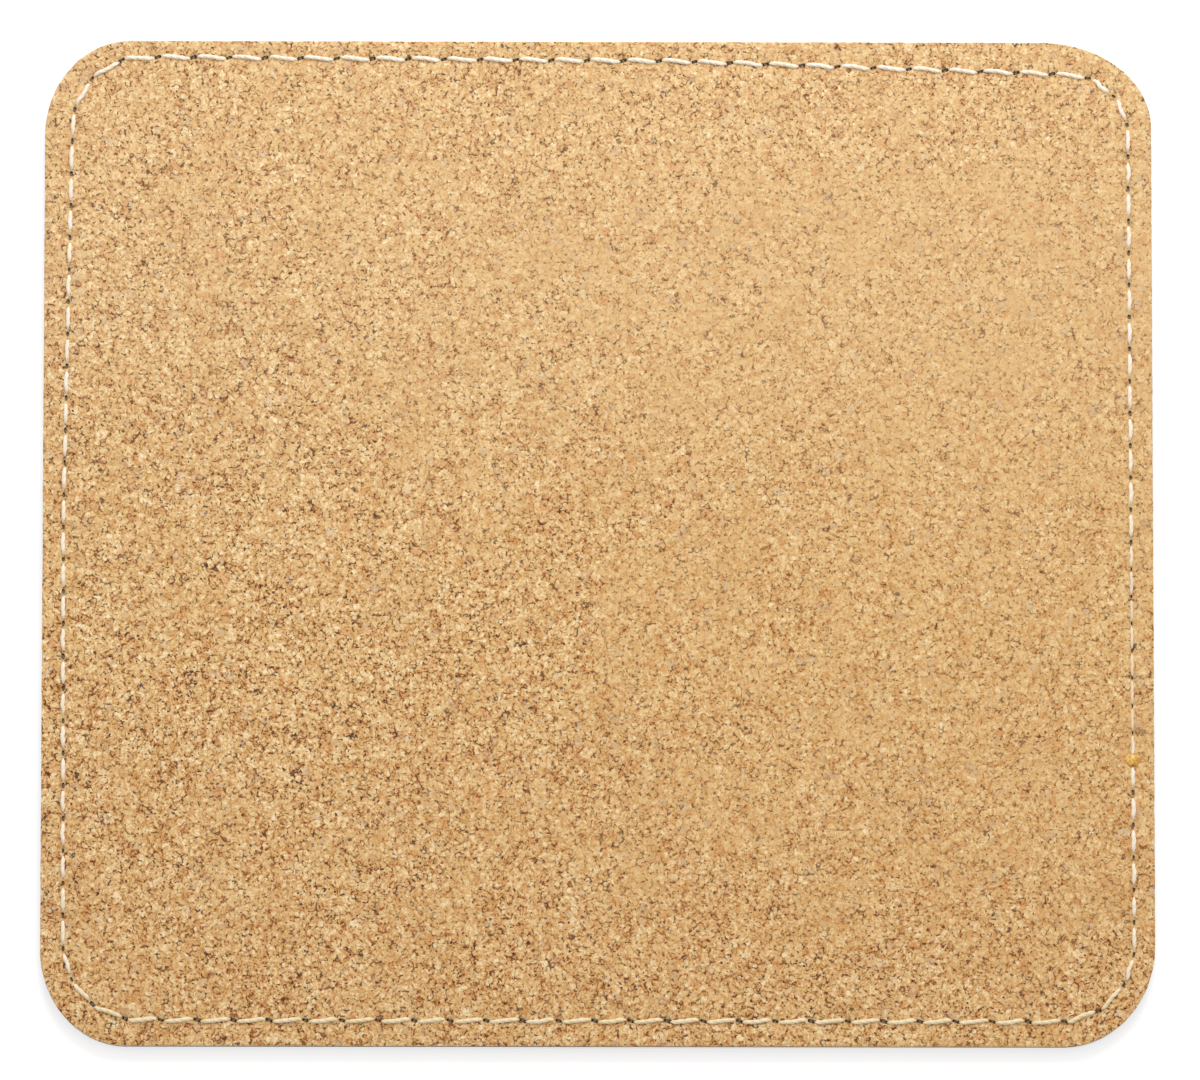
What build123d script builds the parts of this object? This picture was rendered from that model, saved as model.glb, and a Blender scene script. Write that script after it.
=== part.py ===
"""Desk mat: a cork face on a cushioned, rubber-backed pad, stitched all round its edge.

X runs across the mat, Y runs from the front edge to the back edge and Z goes up from
the desk. The mat lies on the plane Z = 0. All lengths are in millimetres.
"""

from build123d import *
import math
import os

os.makedirs("parts", exist_ok=True)

# Plan of the mat. Each corner is a quarter ellipse with its own run along X and Y,
# as the blank is cut by hand and its corners differ.
MAT_WIDTH = 220.0
MAT_DEPTH = 200.0
BACK_LEFT_RUN = (17.0, 19.0)
BACK_RIGHT_RUN = (22.0, 17.0)
FRONT_RIGHT_RUN = (18.0, 20.0)
FRONT_LEFT_RUN = (17.0, 19.0)

# Thickness of each layer, from the desk up.
BASE_THICKNESS = 1.2
GLUE_THICKNESS = 0.1
CORE_THICKNESS = 1.4
SCRIM_THICKNESS = 0.25
CORK_THICKNESS = 1.0

# Height of the top of each layer.
BASE_TOP = BASE_THICKNESS
CORE_BOTTOM = BASE_TOP + GLUE_THICKNESS
CORE_TOP = CORE_BOTTOM + CORE_THICKNESS
SCRIM_BOTTOM = CORE_TOP + GLUE_THICKNESS
CORK_BOTTOM = SCRIM_BOTTOM + SCRIM_THICKNESS
CORK_TOP = CORK_BOTTOM + CORK_THICKNESS

# Edges of the cut sheets that are eased.
CORK_EDGE_ROUND = 0.3
BASE_EDGE_BEVEL = 0.25

# Seam: the corners of its line, in plan, and how far each one is rounded. The line
# starts on the right side and runs counter-clockwise back to its start.
SEAM_BACK_RIGHT = (105.3, 93.2)
SEAM_BACK_MIDDLE = (15.0, 96.1)
SEAM_BACK_LEFT = (-104.3, 96.8)
SEAM_LEFT_MIDDLE = (-105.9, 5.0)
SEAM_FRONT_LEFT = (-105.4, -94.9)
SEAM_FRONT_RIGHT = (105.9, -95.1)
SEAM_START_SHARE = 0.275
DRIFT_RADIUS = 300.0
BACK_RIGHT_RADIUS = 12.0
BACK_LEFT_RADIUS = 14.0
FRONT_RADIUS = 15.0

# Stitch lengths: along the front and back edges, along the two sides, and over the
# short, tight stitches that lock the start of the seam.
EDGE_STITCH = 7.1
SIDE_STITCH = 6.4
LOCK_STITCH = 5.4
LOCK_LENGTH = 43.0

# Threads. The needle thread runs on top and dips in a U at each hole. The bobbin
# thread runs below and rises in an arch that the U holds, at right angles to it.
NEEDLE_RADIUS = 0.35
NEEDLE_LEG = 0.6
NEEDLE_BEND = 0.5
BOBBIN_RADIUS = 0.225
BOBBIN_LEG = 0.62
BOBBIN_BEND = 0.45
THREAD_GAP = 0.03
HOLE_SKEW = 18.0

# Troughs that the threads lie in.
TROUGH_WIDTH = 2.8
TROUGH_DEPTH = 0.45
TROUGH_RADIUS = ((TROUGH_WIDTH / 2) ** 2 + TROUGH_DEPTH**2) / (2 * TROUGH_DEPTH)
THREAD_LIFT = 0.43
CHANNEL_WIDTH = 2.2
CHANNEL_DEPTH = 0.6

# Heights of the thread centre lines.
NEEDLE_TOP = CORK_TOP - TROUGH_DEPTH + THREAD_LIFT
NEEDLE_LOW = CORE_BOTTOM + NEEDLE_RADIUS + THREAD_GAP
BOBBIN_HIGH = NEEDLE_LOW + NEEDLE_RADIUS + BOBBIN_RADIUS + THREAD_GAP
BOBBIN_LOW = 0.28

# Needle holes, wider in the core, where the two threads lock.
SLOT_GAP = 0.03
SLOT_END_GAP = 0.04
FACE_SLOT_LENGTH = 2 * (NEEDLE_LEG + NEEDLE_RADIUS + SLOT_END_GAP)
FACE_SLOT_WIDTH = 2 * (NEEDLE_RADIUS + SLOT_GAP)
BASE_SLOT_LENGTH = 2 * (BOBBIN_LEG + BOBBIN_RADIUS + SLOT_END_GAP)
BASE_SLOT_WIDTH = 0.6
CORE_HOLE_RADIUS = 1.02

# Drop of set glue over the hole where both thread ends finish.
DROP_RADIUS = 1.35
DROP_HEIGHT = 0.55
DROP_SPHERE = (DROP_RADIUS**2 + DROP_HEIGHT**2) / (2 * DROP_HEIGHT)
DROP_PLUG = 0.6


def between(first, last, share):
    """Give the point a share of the way from one plan point to another."""
    return Vector(first) + (Vector(last) - Vector(first)) * share


def corner_arc(side, end, run, start_angle):
    """Draw one quarter-ellipse corner; side and end are -1 or 1 along X and Y."""
    center = (side * (MAT_WIDTH / 2 - run[0]), end * (MAT_DEPTH / 2 - run[1]))
    EllipticalCenterArc(center, run[0], run[1], start_angle, arc_size=90)


def seam_at(halves, distance):
    """Give the place and heading of the seam line a distance along it."""
    for half in halves:
        if distance < half.length:
            place = half.position_at(distance, PositionMode.LENGTH)
            return place, half.tangent_at(distance, PositionMode.LENGTH)
        distance -= half.length


def needle_holes(halves):
    """Give the place and turn of every needle hole, in sewing order from the start."""
    seam_length = sum(half.length for half in halves)
    distances = [0.0]
    while distances[-1] < seam_length - SIDE_STITCH / 2:
        heading = seam_at(halves, distances[-1])[1]
        stitch = EDGE_STITCH if abs(heading.X) > abs(heading.Y) else SIDE_STITCH
        if distances[-1] < LOCK_LENGTH:
            stitch = LOCK_STITCH
        distances.append(distances[-1] + stitch)
    fit = seam_length / distances.pop()
    holes = []
    for distance in distances:
        place, heading = seam_at(halves, distance * fit)
        turn = math.degrees(math.atan2(heading.Y, heading.X))
        skew = -HOLE_SKEW * heading.X
        holes.append(Location((place.X, place.Y, 0), (0, 0, turn + skew)))
    return holes


def thread_route(holes, leg, inside, outside, bend):
    """Draw a thread's whole centre line, which loops inside the mat at each hole.

    leg is where the thread leaves a hole, in the hole's own X and Y. It enters on the
    opposite side. inside and outside are the heights of the loops and of the runs.
    """
    last = len(holes) - 1
    for index, hole in enumerate(holes):
        following = holes[(index + 1) % len(holes)]
        exit_leg = (leg[0], leg[1])
        entry_leg = (-leg[0], -leg[1])
        corners = [
            leg_point(hole, exit_leg, inside),
            leg_point(hole, exit_leg, outside),
            leg_point(following, entry_leg, outside),
            leg_point(following, entry_leg, inside),
        ]
        if index > 0:
            corners.insert(0, leg_point(hole, (0, 0), inside))
        if index < last:
            corners.append(leg_point(following, (0, 0), inside))
        FilletPolyline(*corners, radius=bend)


def leg_point(hole, leg, height):
    """Give the point at a height on the leg of thread that stands in a hole."""
    return (hole * Location((leg[0], leg[1], height))).position


# Outline that every layer is cut to.
with BuildSketch() as outline:
    with BuildLine():
        front = -MAT_DEPTH / 2
        right = MAT_WIDTH / 2
        Line((-right + FRONT_LEFT_RUN[0], front), (right - FRONT_RIGHT_RUN[0], front))
        corner_arc(1, -1, FRONT_RIGHT_RUN, 270)
        Line((right, front + FRONT_RIGHT_RUN[1]), (right, -front - BACK_RIGHT_RUN[1]))
        corner_arc(1, 1, BACK_RIGHT_RUN, 0)
        Line((right - BACK_RIGHT_RUN[0], -front), (-right + BACK_LEFT_RUN[0], -front))
        corner_arc(-1, 1, BACK_LEFT_RUN, 90)
        Line((-right, -front - BACK_LEFT_RUN[1]), (-right, front + FRONT_LEFT_RUN[1]))
        corner_arc(-1, -1, FRONT_LEFT_RUN, 180)
    make_face()

# Line of the seam, in plan, and the needle holes along it.
SEAM_START = between(SEAM_FRONT_RIGHT, SEAM_BACK_RIGHT, SEAM_START_SHARE)
SEAM_HALFWAY = between(SEAM_LEFT_MIDDLE, SEAM_FRONT_LEFT, 0.5)
with BuildLine() as seam:
    back_half = FilletPolyline(
        SEAM_START,
        SEAM_BACK_RIGHT,
        SEAM_BACK_MIDDLE,
        SEAM_BACK_LEFT,
        SEAM_LEFT_MIDDLE,
        SEAM_HALFWAY,
        radius=(BACK_RIGHT_RADIUS, DRIFT_RADIUS, BACK_LEFT_RADIUS, DRIFT_RADIUS),
    )
    front_half = FilletPolyline(
        SEAM_HALFWAY,
        SEAM_FRONT_LEFT,
        SEAM_FRONT_RIGHT,
        SEAM_START,
        radius=(FRONT_RADIUS, FRONT_RADIUS),
    )
HOLES = needle_holes((back_half, front_half))
SEAM_HEADING = back_half % 0

# Slots and holes that the threads pass through.
with BuildSketch() as face_slots:
    with Locations(*HOLES):
        SlotOverall(FACE_SLOT_LENGTH, FACE_SLOT_WIDTH)

with BuildSketch() as base_slots:
    with Locations(*HOLES):
        SlotOverall(BASE_SLOT_LENGTH, BASE_SLOT_WIDTH, rotation=90)

with BuildSketch() as core_holes:
    with Locations(*HOLES):
        Circle(CORE_HOLE_RADIUS)

# Non-slip base with a channel on its underside for the bobbin thread.
with BuildPart() as base_sheet:
    with BuildSketch():
        add(outline.sketch)
    extrude(amount=BASE_THICKNESS)
    chamfer(base_sheet.faces().sort_by(Axis.Z)[0].edges(), BASE_EDGE_BEVEL)
    with BuildLine():
        add(seam.line)
    with BuildSketch(Plane(origin=SEAM_START, x_dir=(0, 0, 1), z_dir=SEAM_HEADING)):
        Rectangle(2 * CHANNEL_DEPTH, CHANNEL_WIDTH)
    sweep(mode=Mode.SUBTRACT)
    with BuildSketch():
        add(base_slots.sketch)
    extrude(amount=BASE_THICKNESS, mode=Mode.SUBTRACT)

# Glue film between base and core.
with BuildPart() as lower_glue_film:
    with BuildSketch(Plane.XY.offset(BASE_TOP)):
        add(outline.sketch)
        add(base_slots.sketch, mode=Mode.SUBTRACT)
    extrude(amount=GLUE_THICKNESS)

# Cushioning core.
with BuildPart() as core:
    with BuildSketch(Plane.XY.offset(CORE_BOTTOM)):
        add(outline.sketch)
        add(core_holes.sketch, mode=Mode.SUBTRACT)
    extrude(amount=CORE_THICKNESS)

# Glue film between core and scrim.
with BuildPart() as upper_glue_film:
    with BuildSketch(Plane.XY.offset(CORE_TOP)):
        add(outline.sketch)
        add(face_slots.sketch, mode=Mode.SUBTRACT)
    extrude(amount=GLUE_THICKNESS)

# Cloth that backs the cork and keeps it from cracking.
with BuildPart() as face_scrim:
    with BuildSketch(Plane.XY.offset(SCRIM_BOTTOM)):
        add(outline.sketch)
        add(face_slots.sketch, mode=Mode.SUBTRACT)
    extrude(amount=SCRIM_THICKNESS)

# Cork face with the trough that the seam pulls into it.
with BuildPart() as cork_face:
    with BuildSketch(Plane.XY.offset(CORK_BOTTOM)):
        add(outline.sketch)
    extrude(amount=CORK_THICKNESS)
    fillet(cork_face.faces().sort_by(Axis.Z)[-1].edges(), CORK_EDGE_ROUND)
    trough_axis = CORK_TOP - TROUGH_DEPTH + TROUGH_RADIUS
    with BuildLine():
        add(seam.line.moved(Location((0, 0, trough_axis))))
    trough_start = SEAM_START + Vector(0, 0, trough_axis)
    with BuildSketch(Plane(origin=trough_start, x_dir=(0, 0, 1), z_dir=SEAM_HEADING)):
        Circle(TROUGH_RADIUS)
    sweep(mode=Mode.SUBTRACT)
    with BuildSketch(Plane.XY.offset(CORK_BOTTOM)):
        add(face_slots.sketch)
    extrude(amount=CORK_THICKNESS, mode=Mode.SUBTRACT)

# Needle thread, one length from the first hole round to it again.
with BuildPart() as needle_thread:
    with BuildLine():
        thread_route(HOLES, (NEEDLE_LEG, 0), NEEDLE_LOW, NEEDLE_TOP, NEEDLE_BEND)
    with BuildSketch(Plane(leg_point(HOLES[0], (NEEDLE_LEG, 0), NEEDLE_LOW))):
        Circle(NEEDLE_RADIUS)
    sweep()

# Bobbin thread, locked through every loop of the needle thread.
with BuildPart() as bobbin_thread:
    with BuildLine():
        thread_route(HOLES, (0, -BOBBIN_LEG), BOBBIN_HIGH, BOBBIN_LOW, BOBBIN_BEND)
    with BuildSketch(Plane(leg_point(HOLES[0], (0, -BOBBIN_LEG), BOBBIN_HIGH))):
        Circle(BOBBIN_RADIUS)
    sweep()

# Drop of glue that fills the top of the first hole round both thread ends.
with BuildPart() as glue_drop:
    with Locations((SEAM_START.X, SEAM_START.Y, CORK_TOP + DROP_HEIGHT - DROP_SPHERE)):
        Sphere(DROP_SPHERE)
    split(bisect_by=Plane.XY.offset(CORK_TOP - DROP_PLUG), keep=Keep.TOP)
    add(cork_face.part, mode=Mode.SUBTRACT)
    for side, neighbour in ((NEEDLE_LEG, HOLES[1]), (-NEEDLE_LEG, HOLES[-1])):
        bottom = leg_point(HOLES[0], (side, 0), NEEDLE_LOW)
        with BuildLine():
            FilletPolyline(
                bottom,
                leg_point(HOLES[0], (side, 0), NEEDLE_TOP),
                leg_point(neighbour, (-side, 0), NEEDLE_TOP),
                radius=NEEDLE_BEND,
            )
        with BuildSketch(Plane(bottom)):
            Circle(NEEDLE_RADIUS)
        sweep(mode=Mode.SUBTRACT)

PIECES = {
    "base_sheet": base_sheet,
    "lower_glue_film": lower_glue_film,
    "core": core,
    "upper_glue_film": upper_glue_film,
    "face_scrim": face_scrim,
    "cork_face": cork_face,
    "needle_thread": needle_thread,
    "bobbin_thread": bobbin_thread,
    "glue_drop": glue_drop,
}
for name, piece in PIECES.items():
    piece.part.label = name
    export_step(piece.part, f"parts/{name}.step")
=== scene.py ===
"""Visual model of a stitched cork desk mat with a non-slip rubber base."""

import logging
import math
from collections.abc import Iterator
from dataclasses import dataclass, field
from enum import Enum
from typing import Any, ClassVar

import bpy
import numpy as np
from mathutils import Matrix, Vector


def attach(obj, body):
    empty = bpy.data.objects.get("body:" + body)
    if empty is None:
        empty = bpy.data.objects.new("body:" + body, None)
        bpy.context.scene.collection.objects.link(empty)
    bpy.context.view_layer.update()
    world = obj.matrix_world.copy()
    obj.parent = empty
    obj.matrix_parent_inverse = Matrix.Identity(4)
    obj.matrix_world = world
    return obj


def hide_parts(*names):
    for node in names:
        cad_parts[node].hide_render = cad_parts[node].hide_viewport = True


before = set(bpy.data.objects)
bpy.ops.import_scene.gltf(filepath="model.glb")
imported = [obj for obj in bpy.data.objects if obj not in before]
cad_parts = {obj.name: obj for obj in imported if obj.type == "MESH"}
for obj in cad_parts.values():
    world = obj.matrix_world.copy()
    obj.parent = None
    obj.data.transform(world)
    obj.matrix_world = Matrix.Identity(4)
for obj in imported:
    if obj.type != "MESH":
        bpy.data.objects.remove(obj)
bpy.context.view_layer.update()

MM = 0.001
LOG = logging.getLogger("desk_mat")

Points = np.ndarray
Place = tuple[float, float, float]
Colour = tuple[int, int, int]
Route = tuple[Place, ...]
CornerRun = tuple[int, int, float, float]


class StitchRun(Enum):
    """Kind of stitch: across the front and back, along a side, or locking the start."""

    ACROSS = "across"
    ALONG_SIDE = "along a side"
    LOCK = "lock"


def linear(red: int, green: int, blue: int) -> tuple[float, float, float, float]:
    """Turn a colour of 0 to 255 as seen into the linear colour that shaders take.

    Args:
        red: Red, from 0 to 255.
        green: Green, from 0 to 255.
        blue: Blue, from 0 to 255.

    Returns:
        The linear colour with an alpha of 1.
    """
    seen = (channel / 255 for channel in (red, green, blue))
    parts = [c / 12.92 if c <= 0.04045 else ((c + 0.055) / 1.055) ** 2.4 for c in seen]
    return (parts[0], parts[1], parts[2], 1.0)


class Strand:
    """A shader socket that takes part in arithmetic and adds the nodes it needs."""

    def __init__(self, graph: "Graph", socket: Any) -> None:
        """Hold a socket of a graph."""
        self.graph = graph
        self.socket = socket

    def _math(self, operation: str, first: Any, second: Any = None) -> "Strand":
        """Add one Math node.

        Args:
            operation: The node's operation.
            first: A strand or a number.
            second: A strand or a number, or None.

        Returns:
            The node's value.
        """
        given = {0: first} if second is None else {0: first, 1: second}
        return self.graph.node("ShaderNodeMath", {"operation": operation}, given).out(0)

    def __add__(self, other: Any) -> "Strand":
        """Add."""
        return self._math("ADD", self, other)

    def __radd__(self, other: Any) -> "Strand":
        """Add, with the number first."""
        return self._math("ADD", other, self)

    def __sub__(self, other: Any) -> "Strand":
        """Subtract."""
        return self._math("SUBTRACT", self, other)

    def __rsub__(self, other: Any) -> "Strand":
        """Subtract from a number."""
        return self._math("SUBTRACT", other, self)

    def __mul__(self, other: Any) -> "Strand":
        """Multiply."""
        return self._math("MULTIPLY", self, other)

    def __rmul__(self, other: Any) -> "Strand":
        """Multiply, with the number first."""
        return self._math("MULTIPLY", other, self)

    def __truediv__(self, other: Any) -> "Strand":
        """Divide."""
        return self._math("DIVIDE", self, other)

    def __lt__(self, other: Any) -> "Strand":
        """Give 1 where this is less."""
        return self._math("LESS_THAN", self, other)

    def __gt__(self, other: Any) -> "Strand":
        """Give 1 where this is greater."""
        return self._math("GREATER_THAN", self, other)

    def largest(self, other: Any) -> "Strand":
        """Give the larger of two values."""
        return self._math("MAXIMUM", self, other)

    def sine(self) -> "Strand":
        """Give the sine."""
        return self._math("SINE", self)

    def cosine(self) -> "Strand":
        """Give the cosine."""
        return self._math("COSINE", self)

    def step(self, low: float, high: float) -> "Strand":
        """Rise smoothly from 0 at low to 1 at high.

        Args:
            low: Where the rise starts.
            high: Where it ends, which may be below low for a fall.

        Returns:
            The eased value.
        """
        ends = {"Value": self, "From Min": low, "From Max": high}
        kind = {"interpolation_type": "SMOOTHSTEP"}
        return self.graph.node("ShaderNodeMapRange", kind, ends).out(0)


class Made:
    """A node that has been added, with its outputs by name or place."""

    def __init__(self, graph: "Graph", node: Any) -> None:
        """Hold a node of a graph."""
        self.graph = graph
        self.node = node

    def out(self, key: str | int) -> Strand:
        """Give one output as a strand."""
        return Strand(self.graph, self.node.outputs[key])


class Graph:
    """The nodes of one material."""

    def __init__(self, name: str) -> None:
        """Start a material with only its output.

        Args:
            name: The material's name.
        """
        self.material = bpy.data.materials.new(name)
        self.material.use_nodes = True
        self.tree = self.material.node_tree
        self.tree.nodes.clear()
        self.output = self.tree.nodes.new("ShaderNodeOutputMaterial")

    def node(self, kind: str, settings: dict[str, Any], values: dict[Any, Any]) -> Made:
        """Add one node, set it and feed its sockets.

        Args:
            kind: Blender's name of the node type.
            settings: Properties set before anything else. A ramp's stops go in "stops".
            values: Numbers, colours or strands by socket name or place.

        Returns:
            The node.
        """
        node = self.tree.nodes.new(kind)
        for name, value in settings.items():
            if name == "stops":
                self._stops(node.color_ramp, value)
            else:
                setattr(node, name, value)
        for key, value in values.items():
            if isinstance(value, Strand):
                self.tree.links.new(value.socket, node.inputs[key])
            else:
                node.inputs[key].default_value = value
        return Made(self, node)

    @staticmethod
    def _stops(ramp: Any, stops: list[tuple[float, Any]]) -> None:
        """Set a colour ramp's stops.

        Args:
            ramp: The ramp.
            stops: Place and colour of each stop, in order.
        """
        while len(ramp.elements) < len(stops):
            ramp.elements.new(1.0)
        for element, (place, colour) in zip(ramp.elements, stops, strict=True):
            element.position = place
            element.color = colour

    def place(self) -> Strand:
        """Give the place on the piece, in millimetres."""
        here = self.node("ShaderNodeTexCoord", {}, {}).out("Object")
        return self.vector("SCALE", here, scale=1 / MM)

    def vector(
        self, operation: str, first: Any, second: Any = None, scale: Any = None
    ) -> Strand:
        """Add one Vector Math node.

        Args:
            operation: The node's operation.
            first: A vector strand.
            second: A vector strand or three numbers, or None.
            scale: A factor, for the operation SCALE.

        Returns:
            The resulting vector.
        """
        values: dict[Any, Any] = {0: first}
        if second is not None:
            values[1] = second
        if scale is not None:
            values["Scale"] = scale
        return self.node("ShaderNodeVectorMath", {"operation": operation}, values).out(0)

    def noise(self, at: Strand, size: float, detail: float = 2.0, rough: float = 0.5) -> Made:
        """Add a noise texture.

        Args:
            at: Where it is read, in millimetres.
            size: About how wide its lumps are, in millimetres.
            detail: How many finer layers it has.
            rough: How strong the finer layers are.

        Returns:
            The texture node, with outputs Fac and Color.
        """
        values = {"Vector": at, "Scale": 1 / size, "Detail": detail, "Roughness": rough}
        return self.node("ShaderNodeTexNoise", {}, values)

    def cells(self, at: Strand, size: float, feature: str = "F1") -> Made:
        """Add a Voronoi texture.

        Args:
            at: Where it is read, in millimetres.
            size: About how wide its cells are, in millimetres.
            feature: What it measures.

        Returns:
            The texture node.
        """
        values = {"Vector": at, "Scale": 1 / size}
        return self.node("ShaderNodeTexVoronoi", {"feature": feature}, values)

    def bent(self, at: Strand, size: float, reach: float) -> Strand:
        """Bend places by noise, so that cells read there get ragged outlines.

        Args:
            at: The places, in millimetres.
            size: Width of the bends.
            reach: How far they go.

        Returns:
            The bent places.
        """
        colour = self.noise(at, size, 1.0).out("Color")
        centred = self.vector("SUBTRACT", colour, (0.5, 0.5, 0.5))
        return self.vector("ADD", at, self.vector("SCALE", centred, scale=2 * reach))

    def split(self, colour: Strand) -> tuple[Strand, Strand, Strand]:
        """Give the three channels of a colour."""
        made = self.node("ShaderNodeSeparateColor", {}, {0: colour})
        return made.out(0), made.out(1), made.out(2)

    def axes(self, vector: Strand) -> tuple[Strand, Strand, Strand]:
        """Give the three parts of a vector."""
        made = self.node("ShaderNodeSeparateXYZ", {}, {0: vector})
        return made.out(0), made.out(1), made.out(2)

    def join(self, x: Any, y: Any, z: Any) -> Strand:
        """Make a vector of three values."""
        return self.node("ShaderNodeCombineXYZ", {}, {0: x, 1: y, 2: z}).out(0)

    def mix(self, share: Any, first: Any, second: Any) -> Strand:
        """Mix a share of a second colour into a first one."""
        values = {0: share, 6: first, 7: second}
        return self.node("ShaderNodeMix", {"data_type": "RGBA"}, values).out(2)

    def ramp(self, value: Strand, stops: list[tuple[float, Any]]) -> Strand:
        """Turn a value into a colour by a ramp."""
        return self.node("ShaderNodeValToRGB", {"stops": stops}, {0: value}).out(0)

    def bump(self, height: Strand, depth: float, strength: float = 1.0) -> Strand:
        """Turn a height into a normal.

        Args:
            height: From 0 to 1.
            depth: How deep 1 is, in millimetres.
            strength: How much of it counts.

        Returns:
            The normal.
        """
        values = {"Height": height, "Distance": depth * MM, "Strength": strength}
        return self.node("ShaderNodeBump", {}, values).out(0)

    def surface(self, colour: Any, roughness: Any, more: dict[str, Any]) -> bpy.types.Material:
        """Add the shader, link it to the output and give the material.

        Args:
            colour: The base colour.
            roughness: The roughness.
            more: What the shader's other sockets get.

        Returns:
            The finished material.
        """
        values = {"Base Color": colour, "Roughness": roughness, **more}
        shader = self.node("ShaderNodeBsdfPrincipled", {}, values)
        self.tree.links.new(shader.node.outputs[0], self.output.inputs["Surface"])
        return self.material


@dataclass(frozen=True)
class CorkFinish:
    """Pressed cork grain: pale and tan chips with dark gaps of painted shade, bark specks and
    fibres; painted light towards the back, painted shade towards the front and down the needle
    slits.
    """

    granule: float = 1.5
    chip: float = 0.8
    fibre: float = 0.56
    speck: float = 1.45
    smoothed_right: float = 0.32
    smoothed_back: float = 0.18
    smoothed_patches: float = 0.22

    def contrast(self, graph: Graph, at: Strand) -> Strand:
        """Give how strong the grain shows: weaker where hands have smoothed it.

        Args:
            graph: The material's nodes.
            at: Places in millimetres.

        Returns:
            A factor, 1 where the grain is at its strongest.
        """
        x, y, _ = graph.axes(at)
        drift = 60.0 * (graph.noise(at, 38.0, 2.0).out("Fac") - 0.5)
        rightwards = (x + drift).step(-80.0, 70.0)
        inner = (y + 0.4 * drift).step(-92.0, -58.0) * y.step(96.0, 62.0)
        backwards = (y + drift).step(-30.0, 60.0)
        worn = graph.noise(at, 9.0, 2.0, 0.55).out("Fac").step(0.46, 0.62)
        smoothed = self.smoothed_right * rightwards * inner
        smoothed = smoothed + self.smoothed_back * backwards
        return 1.1 - smoothed - self.smoothed_patches * worn

    def make(self) -> bpy.types.Material:
        """Make the material.

        Returns:
            The cork material.
        """
        graph = Graph("cork_grain")
        at = graph.place()
        contrast = self.contrast(graph, at)

        ragged = graph.bent(graph.bent(at, 1.6, 0.5), 0.45, 0.14)
        granules = graph.cells(ragged, self.granule)
        tone, tint, kind = graph.split(granules.out("Color"))
        rim = graph.cells(ragged, self.granule, "DISTANCE_TO_EDGE").out("Distance")
        chips = graph.cells(graph.bent(at, 0.5, 0.16), self.chip)
        chip_tone, chip_tint, _ = graph.split(chips.out("Color"))
        chip_gap = chips.out("Distance").step(0.5, 0.8)

        turn = 6.283 * tint
        x, y, z = graph.axes(ragged)
        lengthwise = x * turn.cosine() + y * turn.sine()
        crosswise = y * turn.cosine() - x * turn.sine()
        fibre_place = graph.join(0.5 * lengthwise, 1.6 * crosswise, z + 9.0 * tone)
        fibre = graph.noise(fibre_place, self.fibre, 1.0, 0.5).out("Fac")
        crumb = graph.noise(at, 0.48, 2.0, 0.6).out("Fac")
        lump = graph.noise(at, 4.5, 2.0, 0.5).out("Fac")

        level = 1.15 * (fibre - 0.5) + 1.2 * (crumb - 0.5) + 0.1 * (lump - 0.5)
        level = level + 0.36 * (chip_tone - 0.5) + 0.22 * (tone - 0.5)
        # Painted shade: darker towards the edges of chips and granules.
        level = level - 0.1 * chip_gap - 0.14 * rim.step(0.16, 0.0)
        level = 0.49 + (level + 0.1) * contrast
        base = graph.ramp(
            level,
            [
                (0.02, linear(122, 68, 36)),
                (0.14, linear(160, 101, 56)),
                (0.26, linear(190, 136, 80)),
                (0.4, linear(209, 163, 103)),
                (0.54, linear(219, 178, 120)),
                (0.7, linear(229, 193, 138)),
                (0.86, linear(239, 210, 160)),
                (0.98, linear(247, 226, 187)),
            ],
        )
        greyish = kind.step(0.93, 0.98) * crumb.step(0.45, 0.55) * 0.4
        base = graph.mix(greyish, base, linear(176, 154, 138))
        orange = (1.0 - kind).step(0.88, 0.95) * crumb.step(0.42, 0.55) * 0.45
        base = graph.mix(orange, base, linear(204, 126, 62))
        # Painted light: the cork is paler towards the back of the mat.
        painted_light_back = y.step(-20.0, 60.0) * 0.055
        base = graph.mix(painted_light_back, base, linear(250, 242, 218))
        # Painted shade: the cork is darker and more orange towards the front.
        painted_shade_front = y.step(-10.0, -90.0) * 0.09
        base = graph.mix(painted_shade_front, base, linear(190, 118, 50))

        # Bark specks and slivers, with painted shade in the gaps between chips.
        dark = self.dark_marks(graph, at, rim, chip_tint, chip_gap)
        dark = dark * (0.3 + 0.7 * contrast)
        hue = graph.noise(at, 2.4, 1.0).out("Fac").step(0.44, 0.58)
        dark_colour = graph.mix(hue, linear(88, 34, 22), linear(52, 36, 42))
        base = graph.mix(dark, base, dark_colour)

        # Painted shade down the needle slits, with a little dirt round each hole, read from
        # the sheet's attribute.
        shade = graph.node("ShaderNodeAttribute", {"attribute_name": "slit_shade_and_dirt"}, {})
        base = graph.mix(shade.out("Fac"), base, linear(20, 16, 14))

        height = 0.55 + 0.5 * (fibre - 0.5) + 0.6 * (crumb - 0.5) - 0.35 * dark
        more = {"Specular IOR Level": 0.28, "Normal": graph.bump(height, 0.14, 0.8)}
        return graph.surface(base, 0.74 + 0.2 * crumb, more)

    def dark_marks(
        self, graph: Graph, at: Strand, rim: Strand, tint: Strand, gap: Strand
    ) -> Strand:
        """Give the bark specks, and the dark dashes between chips, which are painted shade in
        the gaps.

        Args:
            graph: The material's nodes.
            at: Places in millimetres.
            rim: Distance from a granule's edge.
            tint: A random value for each chip.
            gap: How near a chip's rim a place is.

        Returns:
            How dark it is, from 0 to 1.
        """
        x, y, _ = graph.axes(at)
        denser = 1.0 - 0.5 * (x + 0.9 * y).step(-60.0, 110.0)
        specks = graph.cells(graph.bent(at, 0.55, 0.3), self.speck)
        chance, size, _ = graph.split(specks.out("Color"))
        reach = 0.05 + 0.17 * size
        near = (specks.out("Distance") / reach).step(1.0, 0.6)
        speck = near * (chance < 0.3 * denser) * 0.96

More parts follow.
